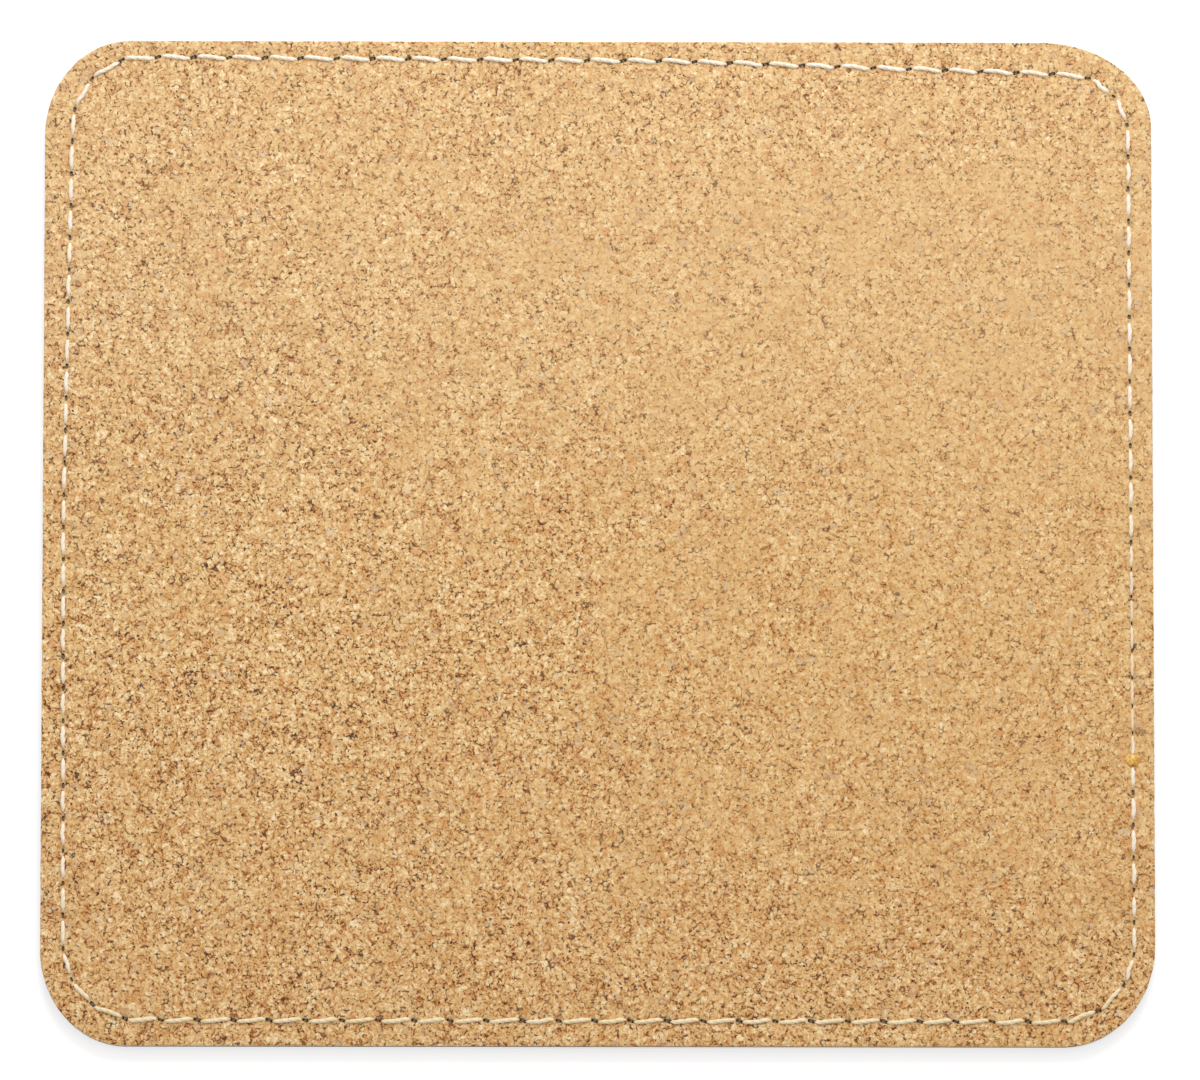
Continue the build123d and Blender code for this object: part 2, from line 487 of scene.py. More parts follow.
        slivers_at = graph.join(x * 0.62 + y * 0.3, y * 1.5 - x * 0.7, 3.0)
        slivers = graph.cells(graph.bent(slivers_at, 0.6, 0.4), 1.2)
        s_chance, s_size, _ = graph.split(slivers.out("Color"))
        s_near = (slivers.out("Distance") / (0.06 + 0.16 * s_size)).step(1.0, 0.5)
        sliver = s_near * (s_chance < 0.24 * denser) * 0.85

        broken = graph.noise(at, 0.8, 1.0).out("Fac")
        # Painted shade: broken dark dashes along the gaps between granules.
        dash = rim.step(0.15, 0.05) * broken.step(0.6, 0.66) * 0.85
        corner = gap * (tint > 0.82) * 0.85
        return dash.largest(speck).largest(sliver).largest(corner)


@dataclass(frozen=True)
class ThreadFinish:
    """Twisted cotton sewing thread, with painted shade and a little dirt where it goes down
    into the mat.

    It is free of that painted shade up to one height in millimetres and dark from another.
    Its lit cream turns to the shaded cream towards the front, which is painted shade, and in
    random patches, and the stitches that lock the seam's start hold a share of cork dust.
    """

    name: str
    light: Colour
    shade: Colour
    shade_and_dirt_from: float
    dark_from: float
    lock_dust: float = 0.0

    # Where the lock stitches lie, in millimetres: right of an X, and between two rises
    # along Y.
    LOCK_SIDE: ClassVar[float] = 95.0
    LOCK_BEGINS: ClassVar[tuple[float, float]] = (-42.0, -38.0)
    LOCK_ENDS: ClassVar[tuple[float, float]] = (2.0, -8.0)

    def make(self) -> bpy.types.Material:
        """Make the material.

        Returns:
            The thread material.
        """
        graph = Graph(self.name)
        at = graph.place()
        x, y, z = graph.axes(at)
        fuzz = graph.noise(at, 0.16, 3.0, 0.65).out("Fac")
        dirt = graph.noise(at, 5.0, 2.0).out("Fac")
        # Painted shade: the lit cream turns to the shaded cream towards the front, and random
        # dirt patches take the same shaded cream.
        front_shade = 0.2 * y.step(60.0, -95.0) + 0.45 * y.step(-80.0, -95.0)
        front_shade_and_dirt = front_shade + 0.35 * dirt.step(0.35, 0.7)
        colour = graph.mix(front_shade_and_dirt, linear(*self.light), linear(*self.shade))
        colour = graph.mix(fuzz.step(0.5, 0.25) * 0.22, colour, linear(196, 164, 122))
        locked = (x > self.LOCK_SIDE) * y.step(*self.LOCK_BEGINS) * y.step(*self.LOCK_ENDS)
        dusty = locked * self.lock_dust * (0.6 + 0.8 * dirt)
        colour = graph.mix(dusty, colour, linear(216, 182, 134))
        # Painted shade, with a little dirt: the thread turns nearly black as it goes down into
        # the holes.
        sunk_shade_and_dirt = z.step(self.shade_and_dirt_from, self.dark_from)
        colour = graph.mix(sunk_shade_and_dirt * 0.93, colour, linear(24, 18, 16))
        more = {"Specular IOR Level": 0.2, "Sheen Weight": 0.15, "Sheen Roughness": 0.5}
        return graph.surface(colour, 0.86, {**more, "Normal": graph.bump(fuzz, 0.05, 0.7)})


@dataclass(frozen=True)
class RubberFinish:
    """Dark non-slip rubber with a fine moulded grain and a dusty bloom."""

    def make(self) -> bpy.types.Material:
        """Make the material.

        Returns:
            The rubber material.
        """
        graph = Graph("base_rubber_grain")
        at = graph.place()
        pips = graph.cells(at, 0.9).out("Distance")
        grit = graph.noise(at, 0.35, 3.0, 0.6).out("Fac")
        bloom = graph.noise(at, 22.0, 3.0, 0.55).out("Fac")
        colour = graph.mix(bloom.step(0.4, 0.7), linear(44, 41, 46), linear(62, 58, 64))
        colour = graph.mix(grit.step(0.62, 0.75) * 0.4, colour, linear(96, 92, 96))
        height = pips.step(0.5, 0.1) * 0.8 + 0.2 * grit
        more = {"Specular IOR Level": 0.35, "Normal": graph.bump(height, 0.09, 0.9)}
        return graph.surface(colour, 0.66 + 0.2 * bloom, more)


@dataclass(frozen=True)
class FoamFinish:
    """Fine closed-cell foam, seen at the mat's cut edge."""

    def make(self) -> bpy.types.Material:
        """Make the material.

        Returns:
            The foam material.
        """
        graph = Graph("core_foam_cells")
        at = graph.place()
        pore = graph.cells(at, 0.24).out("Distance").step(0.45, 0.15)
        size = graph.noise(at, 2.5, 2.0).out("Fac")
        colour = graph.mix(pore, linear(78, 72, 76), linear(34, 31, 34))
        colour = graph.mix(size.step(0.45, 0.7) * 0.4, colour, linear(98, 92, 94))
        more = {"Specular IOR Level": 0.2, "Normal": graph.bump(1.0 - pore, 0.08, 0.9)}
        return graph.surface(colour, 0.9, more)


@dataclass(frozen=True)
class GlueFilmFinish:
    """Thin set film of hot-melt glue, cloudy and slightly yellow."""

    def make(self) -> bpy.types.Material:
        """Make the material.

        Returns:
            The glue film material.
        """
        graph = Graph("glue_film_cloudy")
        at = graph.place()
        cloud = graph.noise(at, 1.6, 3.0).out("Fac")
        colour = graph.mix(cloud.step(0.35, 0.7), linear(188, 168, 132), linear(146, 122, 88))
        more = {"Normal": graph.bump(cloud, 0.04, 0.6)}
        return graph.surface(colour, 0.4 + 0.3 * cloud, more)


@dataclass(frozen=True)
class ScrimFinish:
    """Plain-woven cotton backing cloth."""

    yarn: float = 0.42

    def make(self) -> bpy.types.Material:
        """Make the material.

        Returns:
            The cloth material.
        """
        graph = Graph("scrim_weave")
        at = graph.bent(graph.place(), 6.0, 0.12)
        x, y, _ = graph.axes(at)
        turn = math.pi / self.yarn
        lift = 0.5 + 0.5 * ((x * turn).sine() * (y * turn).sine())
        fuzz = graph.noise(at, 0.2, 3.0, 0.6).out("Fac")
        colour = graph.mix(lift, linear(168, 146, 112), linear(214, 194, 160))
        colour = graph.mix(fuzz.step(0.5, 0.3) * 0.4, colour, linear(140, 116, 84))
        weave = graph.bump(0.7 * lift + 0.3 * fuzz, 0.12, 0.9)
        return graph.surface(colour, 0.9, {"Specular IOR Level": 0.2, "Normal": weave})


@dataclass(frozen=True)
class AmberFinish:
    """Set drop of amber glue, glossy with a few dust specks."""

    def make(self) -> bpy.types.Material:
        """Make the material.

        Returns:
            The amber material.
        """
        graph = Graph("set_glue_amber")
        at = graph.place()
        swirl = graph.noise(graph.bent(at, 0.8, 0.3), 0.7, 3.0).out("Fac")
        dust = graph.cells(at, 0.32)
        chance, _, _ = graph.split(dust.out("Color"))
        dot = dust.out("Distance").step(0.22, 0.1) * (chance < 0.14)
        colour = graph.mix(swirl.step(0.4, 0.62), linear(204, 144, 50), linear(234, 188, 98))
        colour = graph.mix(dot * 0.6, colour, linear(140, 84, 30))
        more = {"Coat Weight": 0.35 * swirl, "Coat Roughness": 0.1}
        more["Normal"] = graph.bump(swirl, 0.04, 0.5)
        return graph.surface(colour, 0.24 + 0.25 * swirl, more)


@dataclass(frozen=True)
class FloorFinish:
    """Pale matt studio floor."""

    glow: float = 0.48

    def make(self) -> bpy.types.Material:
        """Make the material.

        Returns:
            The floor material.
        """
        graph = Graph("studio_floor")
        more = {"Specular IOR Level": 0.1, "Emission Color": (1.0, 1.0, 1.0, 1.0)}
        more["Emission Strength"] = self.glow
        return graph.surface((0.8, 0.8, 0.8, 1.0), 0.9, more)


@dataclass(frozen=True)
class MatPlan:
    """Outline of the mat and the heights of its layers, in metres."""

    width: float = 220 * MM
    depth: float = 200 * MM
    cork_top: float = 4.05 * MM
    cork_bottom: float = 3.05 * MM
    scrim_bottom: float = 2.8 * MM


    # Each corner's side along X and Y, and how far its curve runs along each.
    corner_runs: tuple[CornerRun, ...] = (
        (-1, -1, 17 * MM, 19 * MM),
        (-1, 1, 17 * MM, 19 * MM),
        (1, -1, 18 * MM, 20 * MM),
        (1, 1, 22 * MM, 17 * MM),
    )

    def corners(self, plan: Points) -> Iterator[tuple[Points, Points, Points, Points]]:
        """Go through the corners, each a quarter of an ellipse.

        Args:
            plan: X and Y of some points.

        Returns:
            For each corner its signs, its ellipse's middle, how far that runs along X
            and Y, and the points measured from the middle in those runs.
        """
        for right, back, along, up in self.corner_runs:
            sign = np.array([right, back])
            run = np.array([along, up])
            center = np.array([self.width / 2, self.depth / 2]) - run
            yield sign, center, run, (plan * sign - center) / run

    def rounded(self, plan: Points) -> Points:
        """Move the points of a rectangle so that its corners become round.

        Args:
            plan: X and Y of each point of the full rectangle.

        Returns:
            X and Y of each point within the mat's outline.
        """
        moved = plan.copy()
        for sign, center, run, local in self.corners(plan):
            inside = (local > 0).all(axis=1)
            x, y = local[inside].T
            pulled = np.stack([x * np.sqrt(1 - y * y / 2), y * np.sqrt(1 - x * x / 2)], axis=1)
            moved[inside] = (pulled * run + center) * sign
        return moved

    def border_share(self, plan: Points) -> Points:
        """Give how near each point lies to the outline.

        Args:
            plan: X and Y of each point.

        Returns:
            1 on the outline, falling to 0 half a millimetre inside it.
        """
        gap = (np.array([self.width, self.depth]) / 2 - np.abs(plan)).min(axis=1)
        for _, _, run, local in self.corners(plan):
            inside = (local > 0).all(axis=1)
            round_gap = (1 - np.linalg.norm(local, axis=1)) * run.min()
            gap = np.where(inside, np.minimum(gap, round_gap), gap)
        return np.clip(1 - gap / (0.5 * MM), 0, 1)


class SeamLine:
    """Line of the seam and the places of its needle holes, in metres."""

    # X, Y and radius of each corner in millimetres, from the start and back to it.
    CORNERS = (
        (105.735, -43.3175, 0.0),
        (105.3, 93.2, 12.0),
        (15.0, 96.1, 300.0),
        (-104.3, 96.8, 14.0),
        (-105.9, 5.0, 300.0),
        (-105.4, -94.9, 15.0),
        (105.9, -95.1, 15.0),
        (105.735, -43.3175, 0.0),
    )
    STITCH = {
        StitchRun.ACROSS: 7.1 * MM,
        StitchRun.ALONG_SIDE: 6.4 * MM,
        StitchRun.LOCK: 5.4 * MM,
    }
    LOCK_LENGTH = 43.0 * MM
    SKEW = math.radians(18)
    STEP = 0.1 * MM
    ARC_PARTS = 48

    # The nearest place is sought on every 40th point first, for 4000 points at a time.
    SPARSE = 40
    BATCH = 4000

    def __init__(self) -> None:
        """Lay the line out and place the holes along it."""
        self.places = self._even(self._rounded_line())
        ahead = np.roll(self.places, -1, axis=0) - np.roll(self.places, 1, axis=0)
        self.headings = ahead / np.linalg.norm(ahead, axis=1, keepdims=True)
        self.length = self.step * len(self.places)
        self.holes = self._hole_distances()

    def _rounded_line(self) -> Points:
        """Draw the line with an arc at each corner.

        Returns:
            The line's points, first and last at the start.
        """
        corners = [(Vector(c[:2]) * MM, c[2] * MM) for c in self.CORNERS]
        points = [corners[0][0]]
        for before, (corner, radius), after in zip(
            corners, corners[1:], corners[2:], strict=False
        ):
            back = (before[0] - corner).normalized()
            forth = (after[0] - corner).normalized()
            half = back.angle(forth) / 2
            middle = corner + (back + forth).normalized() * (radius / math.sin(half))
            start = corner + back * (radius / math.tan(half))
            sweep = math.pi - 2 * half
            arm = start - middle
            for share in np.linspace(0, 1, self.ARC_PARTS + 1):
                points.append(middle + Matrix.Rotation(sweep * share, 2) @ arm)
        points.append(corners[-1][0])
        return np.array([tuple(p) for p in points])

    def _even(self, line: Points) -> Points:
        """Space points evenly along a line.

        Args:
            line: The line's points.

        Returns:
            Points a short even step apart, without the last one.
        """
        steps = np.linalg.norm(np.diff(line, axis=0), axis=1)
        along = np.concatenate([[0], np.cumsum(steps)])
        count = round(along[-1] / self.STEP)
        self.step = along[-1] / count
        at = np.arange(count) * self.step
        return np.stack([np.interp(at, along, line[:, i]) for i in (0, 1)], axis=1)

    def _index(self, distance: float) -> int:
        """Give which point lies a distance along the line."""
        return round(distance / self.step) % len(self.places)

    def _hole_distances(self) -> Points:
        """Step along the line by stitch lengths, then fit the last to the start.

        Returns:
            The distance of each hole from the start.
        """
        found = [0.0]
        while found[-1] < self.length - self.STITCH[StitchRun.ALONG_SIDE] / 2:
            found.append(found[-1] + self.STITCH[self.run_at(found[-1])])
        fit = self.length / found.pop()
        return np.array(found) * fit

    def run_at(self, distance: float) -> StitchRun:
        """Say which kind of stitch starts somewhere.

        Args:
            distance: How far along the seam it starts.

        Returns:
            The kind of stitch.
        """
        if distance < self.LOCK_LENGTH:
            return StitchRun.LOCK
        x, y = self.headings[self._index(distance)]
        return StitchRun.ACROSS if abs(x) > abs(y) else StitchRun.ALONG_SIDE

    def from_hole(self, along: Points) -> Points:
        """Measure along the seam to the nearest hole.

        Args:
            along: Distances along the seam.

        Returns:
            How far each lies from the nearest hole.
        """
        around = along % self.length
        holes = np.append(self.holes, self.length)
        after = np.clip(np.searchsorted(holes, around, side="right"), 1, len(holes) - 1)
        return np.minimum(np.abs(around - holes[after - 1]), np.abs(holes[after] - around))

    def hole_frame(self, number: int) -> tuple[Points, Points]:
        """Give a hole's middle and the direction that its slit runs in.

        Args:
            number: Which hole, in sewing order. It wraps round.

        Returns:
            The middle and a unit direction.
        """
        index = self._index(self.holes[number % len(self.holes)])
        heading = self.headings[index]
        turn = -self.SKEW * heading[0]
        cos, sin = math.cos(turn), math.sin(turn)
        slit = np.array(
            [heading[0] * cos - heading[1] * sin, heading[0] * sin + heading[1] * cos]
        )
        return self.places[index], slit

    def beside(self, plan: Points, reach: float) -> tuple[Points, Points]:
        """Find where points lie beside the seam.

        Args:
            plan: X and Y of each point.
            reach: How far from the seam a point may lie to be found.

        Returns:
            For each point, the distance along the seam, and how far it lies to the
            inner side of it, or a large number beyond reach.
        """
        along = np.zeros(len(plan))
        aside = np.full(len(plan), 1.0)
        coarse = self.places[:: self.SPARSE]
        around = np.arange(-self.SPARSE, self.SPARSE + 1)
        for begin in range(0, len(plan), self.BATCH):
            part = plan[begin : begin + self.BATCH]
            gap = np.linalg.norm(part[:, None] - coarse[None], axis=2)
            nearest = gap.argmin(axis=1)
            where = np.nonzero(gap.min(axis=1) < reach + self.SPARSE * self.STEP)[0]
            if not len(where):
                continue
            window = nearest[where, None] * self.SPARSE + around[None]
            window %= len(self.places)
            spots = self.places[window]
            gaps = np.linalg.norm(part[where, None] - spots, axis=2)
            best = window[np.arange(len(where)), gaps.argmin(axis=1)]
            offset = part[where] - self.places[best]
            heading = self.headings[best]
            ahead = (offset * heading).sum(axis=1)
            side = heading[:, 0] * offset[:, 1] - heading[:, 1] * offset[:, 0]
            along[begin + where] = best * self.step + ahead
            aside[begin + where] = side
        return along, aside


class Workbench:
    """Small steps of modelling by operators that every piece uses."""

    @staticmethod
    def clear() -> None:
        """Leave edit mode and deselect everything."""
        if bpy.context.mode != "OBJECT":
            bpy.ops.object.mode_set(mode="OBJECT")
        bpy.ops.object.select_all(action="DESELECT")

    @staticmethod
    def take(piece: bpy.types.Object) -> None:
        """Make one piece the only one selected and active.

        Args:
            piece: The piece.
        """
        Workbench.clear()
        piece.select_set(True)
        bpy.context.view_layer.objects.active = piece

    @staticmethod
    def points(piece: bpy.types.Object) -> Points:
        """Give where the piece's vertices lie.

        Args:
            piece: The piece.

        Returns:
            X, Y and Z of each vertex.
        """
        found = np.empty(len(piece.data.vertices) * 3)
        piece.data.vertices.foreach_get("co", found)
        return found.reshape(-1, 3)

    @staticmethod
    def move_points(piece: bpy.types.Object, places: Points) -> None:
        """Set where the piece's vertices lie."""
        piece.data.vertices.foreach_set("co", places.ravel())
        piece.data.update()

    @staticmethod
    def spread(places: Points, push: Points) -> None:
        """Move points outwards from the mat's middle.

        Args:
            places: X, Y and Z of each point, which are changed.
            push: How far each one goes.
        """
        length = np.linalg.norm(places[:, :2], axis=1, keepdims=True)
        places[:, :2] += places[:, :2] / np.maximum(length, MM) * push[:, None]

    @staticmethod
    def edit(piece: bpy.types.Object, kind: str) -> None:
        """Open a piece for editing with nothing selected.

        Args:
            piece: The piece.
            kind: VERT, EDGE or FACE.
        """
        Workbench.take(piece)
        bpy.ops.object.mode_set(mode="EDIT")
        bpy.ops.mesh.select_mode(type=kind)
        bpy.ops.mesh.select_all(action="DESELECT")
        bpy.ops.object.mode_set(mode="OBJECT")

    @staticmethod
    def pick(piece: bpy.types.Object, kind: str, chosen: Points) -> None:
        """Select faces or edges by a mask and open the piece for editing.

        Args:
            piece: The piece.
            kind: EDGE or FACE.
            chosen: For each one, whether it is selected.
        """
        Workbench.edit(piece, kind)
        parts = piece.data.polygons if kind == "FACE" else piece.data.edges
        parts.foreach_set("select", chosen)
        bpy.ops.object.mode_set(mode="EDIT")

    @staticmethod
    def close() -> None:
        """Leave edit mode."""
        bpy.ops.object.mode_set(mode="OBJECT")

    @staticmethod
    def settle(piece: bpy.types.Object, name: str) -> None:
        """Name a piece and put its origin at the frame's, with its place in its mesh.

        Args:
            piece: The piece.
            name: Its name.
        """
        Workbench.take(piece)
        bpy.ops.object.transform_apply(location=True, rotation=True, scale=True)
        piece.name = name
        piece.data.name = name

    @staticmethod
    def smooth(piece: bpy.types.Object, angle: float) -> None:
        """Shade smooth below an angle in degrees."""
        Workbench.take(piece)
        bpy.ops.object.shade_smooth_by_angle(angle=math.radians(angle))

    @staticmethod
    def dress(piece: bpy.types.Object, material: bpy.types.Material) -> None:
        """Give a piece one material."""
        piece.data.materials.clear()
        piece.data.materials.append(material)


@dataclass
class CorkFace:
    """Cork face with its stitched trough, needle holes and cut edge."""

    plan: MatPlan
    seam: SeamLine
    columns: int = 176
    rows: int = 160
    fine_band: float = 2.0 * MM
    fine_margin: float = 0.6 * MM
    edge_round: float = 0.3 * MM
    trough: float = 0.22 * MM
    near_width: float = 0.95 * MM
    wide_width: float = 2.3 * MM
    pucker_width: float = 1.1 * MM
    grain_depth: float = 0.035 * MM
    nick_depth: float = 0.1 * MM
    hole_half: float = 0.78 * MM
    hole_width: float = 0.74 * MM
    slit_size: dict[StitchRun, tuple[float, float]] = field(
        default_factory=lambda: {
            StitchRun.ACROSS: (1.0, 1.0),
            StitchRun.ALONG_SIDE: (0.68, 0.82),
            StitchRun.LOCK: (0.5, 0.5),
        }
    )

    def slab(self) -> bpy.types.Object:
        """Model the sheet: a grid drawn to the outline, refined at the seam.

        Returns:
            The closed sheet with a rounded top edge.
        """
        Workbench.clear()
        bpy.ops.mesh.primitive_grid_add(
            x_subdivisions=self.columns,
            y_subdivisions=self.rows,
            size=1,
            location=(0, 0, self.plan.cork_top),
        )
        sheet = bpy.context.active_object
        bpy.ops.object.mode_set(mode="EDIT")
        bpy.ops.mesh.select_all(action="SELECT")
        size = (self.plan.width, self.plan.depth, 1)
        bpy.ops.transform.resize(value=size, center_override=(0, 0, 0))
        Workbench.close()
        Workbench.settle(sheet, "cork_face_sheet")
        places = Workbench.points(sheet)
        places[:, :2] = self.plan.rounded(places[:, :2])
        Workbench.move_points(sheet, places)
        for band in (self.fine_band + self.fine_margin, self.fine_band):
            self.refine(sheet, band)
        self.wall(sheet)
        return sheet

    def refine(self, sheet: bpy.types.Object, band: float) -> None:
        """Halve the faces that lie near the seam.

        Args:
            sheet: The sheet.
            band: How far from the seam they reach.
        """
        middles = np.empty(len(sheet.data.polygons) * 3)
        sheet.data.polygons.foreach_get("center", middles)
        _, aside = self.seam.beside(middles.reshape(-1, 3)[:, :2], band)
        Workbench.pick(sheet, "FACE", np.abs(aside) < band)
        bpy.ops.mesh.subdivide(number_cuts=1)
        Workbench.close()

    def wall(self, sheet: bpy.types.Object) -> None:
        """Give the sheet its thickness and round its top edge.

        Args:
            sheet: The flat sheet.
        """
        Workbench.edit(sheet, "EDGE")
        bpy.ops.object.mode_set(mode="EDIT")
        bpy.ops.mesh.select_non_manifold(
            extend=False, use_wire=False, use_boundary=True, use_multi_face=False,
            use_non_contiguous=False, use_verts=False,
        )
        drop = self.plan.cork_bottom - self.plan.cork_top
        bpy.ops.mesh.extrude_edges_move(TRANSFORM_OT_translate={"value": (0, 0, drop)})
        bpy.ops.mesh.edge_face_add()
        bpy.ops.mesh.select_all(action="SELECT")
        bpy.ops.mesh.normals_make_consistent(inside=False)
        bpy.ops.mesh.select_all(action="DESELECT")
        bpy.ops.mesh.edges_select_sharp(sharpness=math.radians(60))
        Workbench.close()
        picked = np.empty(len(sheet.data.edges), bool)
        sheet.data.edges.foreach_get("select", picked)
        ends = np.empty(len(sheet.data.edges) * 2, int)
        sheet.data.edges.foreach_get("vertices", ends)
        heights = Workbench.points(sheet)[ends.reshape(-1, 2), 2]
        middle = (self.plan.cork_top + self.plan.cork_bottom) / 2
        Workbench.pick(sheet, "EDGE", picked & (heights > middle).all(axis=1))
        bpy.ops.mesh.bevel(offset=self.edge_round, segments=3, affect="EDGES")
        Workbench.close()

    def punch(self) -> bpy.types.Object:
        """Model one needle slit as a rounded peg that cuts through the sheet.

        Returns:
            The peg, standing on the frame's origin along X.
        """
        Workbench.clear()
        bpy.ops.mesh.primitive_cylinder_add(
            vertices=16, radius=self.hole_width / 2, depth=2.4 * MM,
            location=(0, 0, self.plan.cork_top - 0.4 * MM),
        )
        peg = bpy.context.active_object
        Workbench.settle(peg, "needle_slit")
        places = Workbench.points(peg)
        stretch = self.hole_half - self.hole_width / 2
        places[:, 0] += np.sign(np.round(places[:, 0] / MM, 6)) * stretch
        Workbench.move_points(peg, places)
        return peg

    def pierce(self, sheet: bpy.types.Object) -> None:
        """Cut every needle slit.

        Args:
            sheet: The closed sheet.
        """
        peg = self.punch()
        random = np.random.default_rng(17)
        pegs = []
        for number in range(len(self.seam.holes)):
            place, slit = self.seam.hole_frame(number)
            copy = peg.copy()
            copy.data = peg.data.copy()
            bpy.context.collection.objects.link(copy)
            turn = Matrix.Rotation(math.atan2(slit[1], slit[0]), 4, "Z")
            along, across = self.slit_size[self.seam.run_at(self.seam.holes[number])]
            wear = random.uniform(0.8, 1.12, 2)
            size = Matrix.Diagonal((along * wear[0], across * wear[1], 1, 1))
            spot = Matrix.Translation((place[0], place[1], 0))
            copy.data.transform(spot @ turn @ size)
            pegs.append(copy)
        Workbench.take(pegs[0])
        for copy in pegs:
            copy.select_set(True)
        bpy.ops.object.join()
        cutter = bpy.context.active_object
        Workbench.take(sheet)
        cut = sheet.modifiers.new("slits", "BOOLEAN")
        cut.operation = "DIFFERENCE"
        cut.solver = "EXACT"
        cut.object = cutter
        bpy.ops.object.modifier_apply(modifier="slits")
        bpy.data.objects.remove(cutter)
        bpy.data.objects.remove(peg)

    def relief(self, sheet: bpy.types.Object) -> None:
        """Sink the trough, pucker the cork at each hole, rough the cut edge and paint shade
        into the slits.

        Args:
            sheet: The pierced sheet. Its vertices get an attribute of painted shade, deepest
                down the slits, with a little dirt round each hole.
        """
        places = Workbench.points(sheet)
        along, aside = self.seam.beside(places[:, :2], 5 * MM)
        from_hole = self.seam.from_hole(along)
        near = np.exp(-((aside / self.near_width) ** 2))
        wide = np.exp(-((aside / self.wide_width) ** 2))
        at_hole = np.exp(-((from_hole / self.pucker_width) ** 2))
        sink = near * (0.6 + 0.55 * at_hole) * self.trough
        sink += wide * (0.1 + 0.35 * at_hole) * self.trough
        top = places[:, 2] > self.plan.cork_top - self.edge_round * 1.05
        grain = self.grain(places[:, :2])
        places[:, 2] -= np.where(top, sink, 0)
        inside = top & (np.abs(aside) > 0)
        places[:, 2] += np.where(inside, (grain - 0.6) * self.grain_depth, 0)
        above = places[:, 2] > self.plan.cork_bottom + 0.01 * MM
        border = self.plan.border_share(places[:, :2])
        nick = (grain - 0.7) * self.nick_depth * np.where(above, 1.0, 0.4)
        Workbench.spread(places, nick * border)
        Workbench.move_points(sheet, places)
        # Painted shade that deepens down each needle slit, and a slight darkening with dirt
        # round each hole in the trough.
        depth = (self.plan.cork_top - self.trough - places[:, 2]) / (0.6 * MM)
        in_hole = (np.abs(aside) < 0.6 * MM) & (from_hole < 1.25 * MM)
        mark = np.maximum(np.clip(depth, 0, 1) * in_hole, near * at_hole * 0.12)
        slit_shade_and_dirt = sheet.data.attributes.new("slit_shade_and_dirt", "FLOAT", "POINT")
        slit_shade_and_dirt.data.foreach_set("value", mark.astype(np.float32))

    @staticmethod
    def grain(plan: Points) -> Points:
        """Draw a smooth uneven height from crossed waves.

        Args:
            plan: X and Y of each point.

        Returns:
            The height at each point, from 0 to 1.
        """
        random = np.random.default_rng(11)
        total = np.zeros(len(plan))
        waves = 14
        for _ in range(waves):
            angle = random.uniform(0, math.pi)
            wave = random.uniform(1.6, 5.0) * MM
            shift = random.uniform(0, 2 * math.pi)
            lengthwise = plan[:, 0] * math.cos(angle) + plan[:, 1] * math.sin(angle)
            total += np.sin(lengthwise * 2 * math.pi / wave + shift)
        return np.clip(0.5 + total / 9, 0, 1)

    def build(self) -> bpy.types.Object:
        """Model and dress the cork face.

        Returns:
            The finished piece.
        """
        sheet = self.slab()
        self.pierce(sheet)
        self.relief(sheet)
        Workbench.smooth(sheet, 38)
        Workbench.dress(sheet, CorkFinish().make())
        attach(sheet, "root")
        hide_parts("cork_face")
        return sheet


